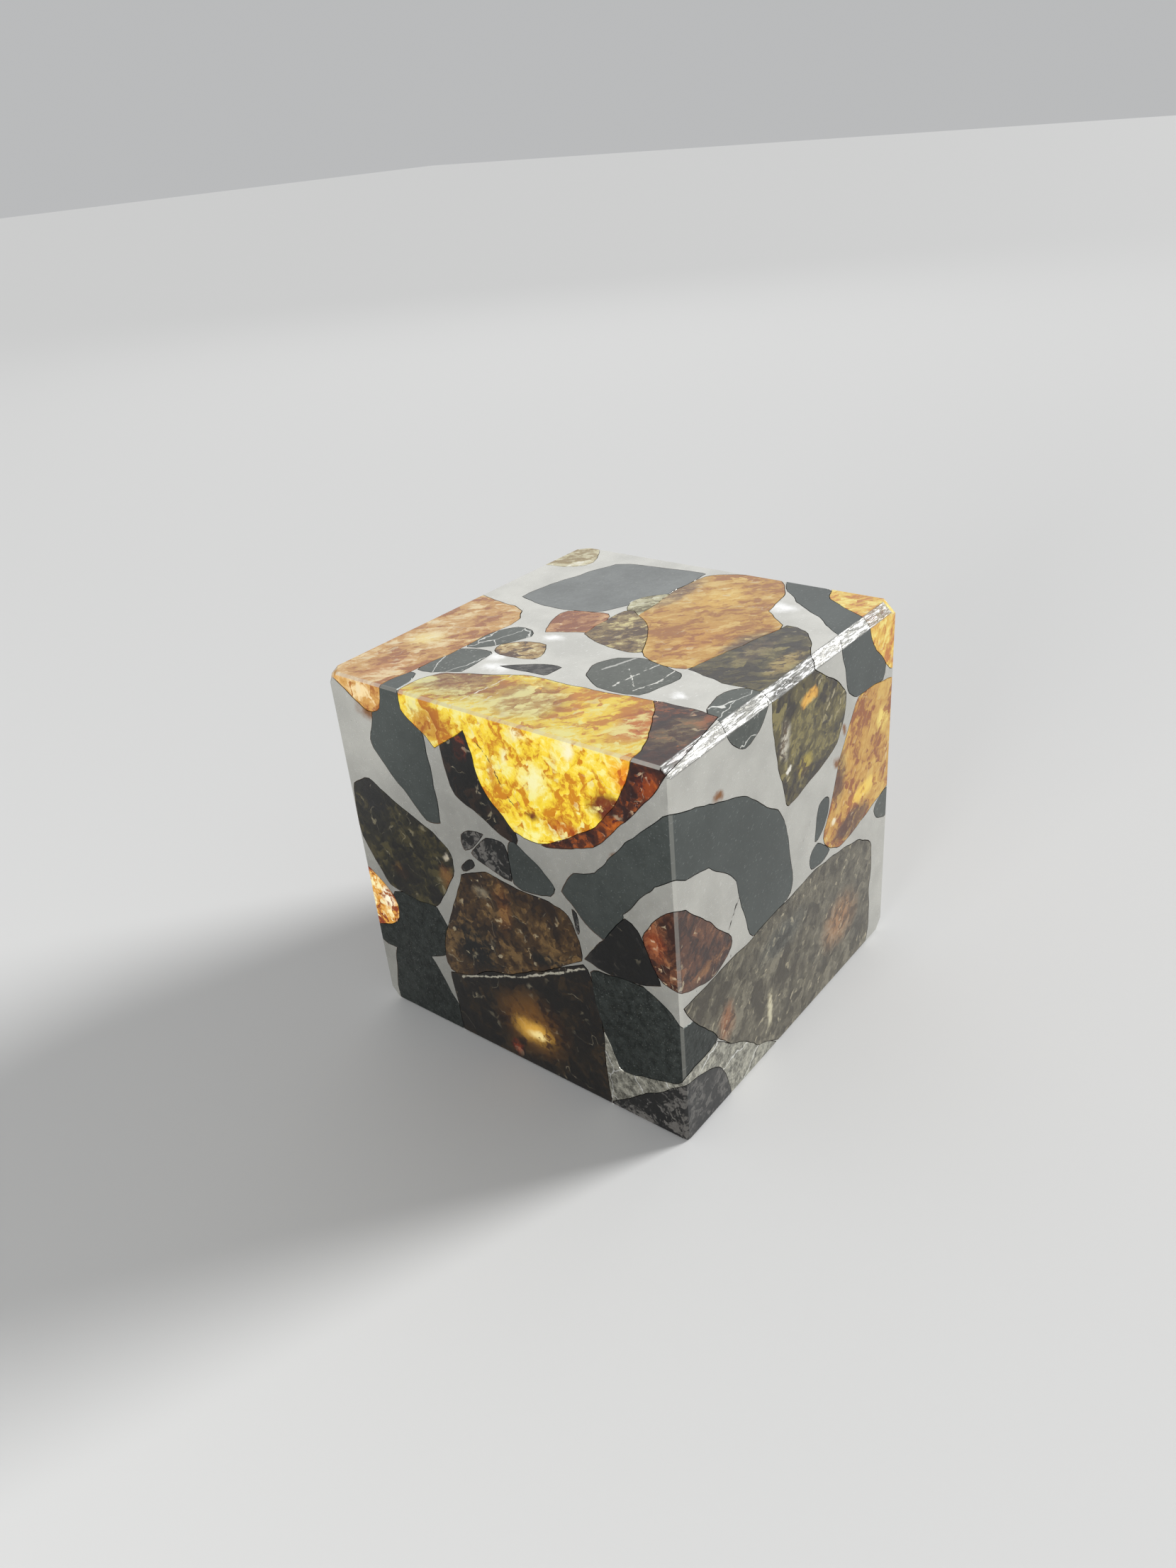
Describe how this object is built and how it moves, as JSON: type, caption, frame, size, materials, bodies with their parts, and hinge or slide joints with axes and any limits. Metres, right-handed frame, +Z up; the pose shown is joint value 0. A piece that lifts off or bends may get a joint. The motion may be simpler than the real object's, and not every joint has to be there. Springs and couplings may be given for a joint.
{
  "type": "stony-iron rock cube",
  "caption": "Small polished display cube cut from stony-iron rock: translucent golden to brown olivine crystals and dark grey metal fields set in a bright nickel-iron skeleton.",
  "frame": {"origin": "middle of the square face that the cube rests on", "axes": "+Z up out of the resting face, +X towards the right-hand upright face, -Y towards the front face whose top edge carries the wide ground flat"},
  "size_m": [0.025, 0.025, 0.025],
  "materials": {
    "kamacite": "polished nickel-iron",
    "kamacite_etched": "crinkled nickel-iron",
    "plessite": "polished fine-grained nickel-iron",
    "olivine_gold": "polished translucent crystal, golden",
    "olivine_amber": "polished translucent crystal, amber brown",
    "olivine_dark": "polished translucent crystal, dark olive brown",
    "troilite": "polished black sulphide"
  },
  "bodies": {
    "root": {"olivine_gold_edge": "olivine_gold", "olivine_amber_rim": "olivine_amber", "olivine_spear": "olivine_dark", "olivine_brown_north": "olivine_dark", "olivine_crown": "olivine_gold", "olivine_pale_nose": "olivine_gold", "olivine_amber_north": "olivine_amber", "olivine_back_edge": "olivine_gold", "olivine_north_east": "olivine_gold", "olivine_seed": "olivine_gold", "olivine_east_tip": "olivine_gold", "olivine_east": "olivine_gold", "olivine_south": "olivine_dark", "olivine_red": "olivine_amber", "olivine_black_wedge": "olivine_dark", "troilite_corner": "troilite", "plessite_corner": "plessite", "kamacite_etched_band": "kamacite_etched", "olivine_black_west": "olivine_dark", "plessite_ridge": "plessite", "olivine_west": "olivine_dark", "olivine_west_core": "olivine_dark", "olivine_west_base": "olivine_dark", "olivine_west_edge": "olivine_gold", "plessite_west_low": "plessite", "troilite_wedge": "troilite", "plessite_west_mid": "plessite", "troilite_west_upper": "troilite", "troilite_west_lower": "troilite", "troilite_sliver": "troilite", "plessite_hook": "plessite", "plessite_notch": "plessite", "plessite_east": "plessite", "plessite_bean_upper": "plessite", "plessite_bean_lower": "plessite", "plessite_south_east": "plessite", "plessite_oval": "plessite", "plessite_north_west": "plessite", "plessite_north_mid": "plessite", "plessite_north_east": "plessite", "troilite_splinter": "troilite", "olivine_right_mid": "olivine_gold", "plessite_right_high": "plessite", "olivine_right_back": "olivine_dark", "plessite_right_low": "plessite", "olivine_right_base": "olivine_amber", "plessite_back_high": "plessite", "olivine_back_mid": "olivine_amber", "plessite_back_west": "plessite", "olivine_back_base": "olivine_gold", "plessite_back_low": "plessite", "olivine_base_north": "olivine_dark", "plessite_base_east": "plessite", "plessite_base_south": "plessite", "kamacite_skeleton": "kamacite"}
  },
  "joints": []
}
